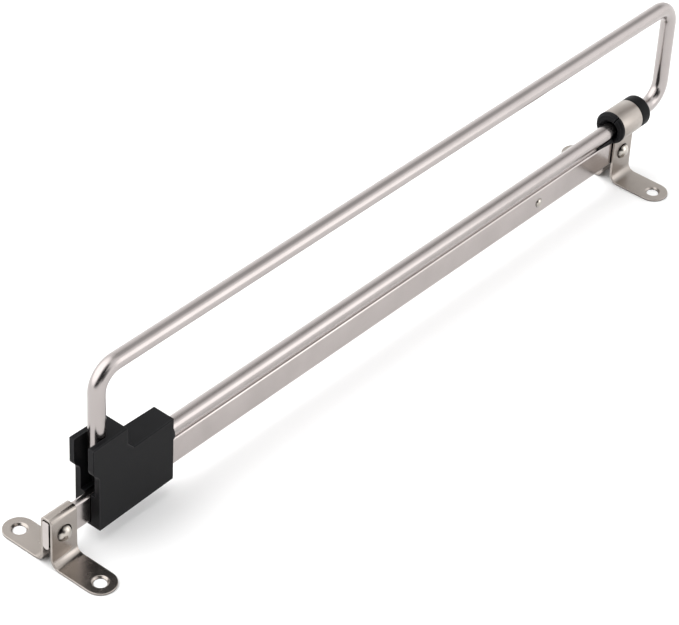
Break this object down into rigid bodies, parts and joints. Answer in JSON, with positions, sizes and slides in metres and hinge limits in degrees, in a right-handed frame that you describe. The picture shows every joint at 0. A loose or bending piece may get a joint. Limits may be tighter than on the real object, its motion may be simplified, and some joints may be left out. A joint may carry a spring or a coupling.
{
  "type": "closet valet rod",
  "caption": "Pull-out wardrobe rail: a bent nickel bar slides along a flat guide rail between two riveted screw-down brackets.",
  "frame": {"origin": "centre of the four screw holes, on the undersides of the feet", "axes": "+X along the rail toward the end where the bar pulls out, +Z away from the mounting surface"},
  "size_m": [0.447, 0.0642, 0.0922],
  "materials": {
    "nickel_rail": "polished nickel plate",
    "nickel_bracket": "satin nickel plate",
    "nickel_rivet": "satin nickel plate",
    "nickel_bar": "polished nickel plate",
    "black_plastic": "satin moulded plastic"
  },
  "bodies": {
    "frame": {"guide_rail": "nickel_rail", "rear_bracket": "nickel_bracket", "rear_rivet": "nickel_rivet", "front_bracket": "nickel_bracket", "front_rivet": "nickel_rivet", "front_bushing": "black_plastic", "stop_rivet": "nickel_rivet"},
    "pullout": {"loop_rod": "nickel_bar", "slider_block": "black_plastic"}
  },
  "joints": [
    {"name": "pullout_slide", "type": "slide", "parent": "frame", "child": "pullout", "axis": [1, 0, 0], "range_m": [-0.005, 0.266]}
  ]
}
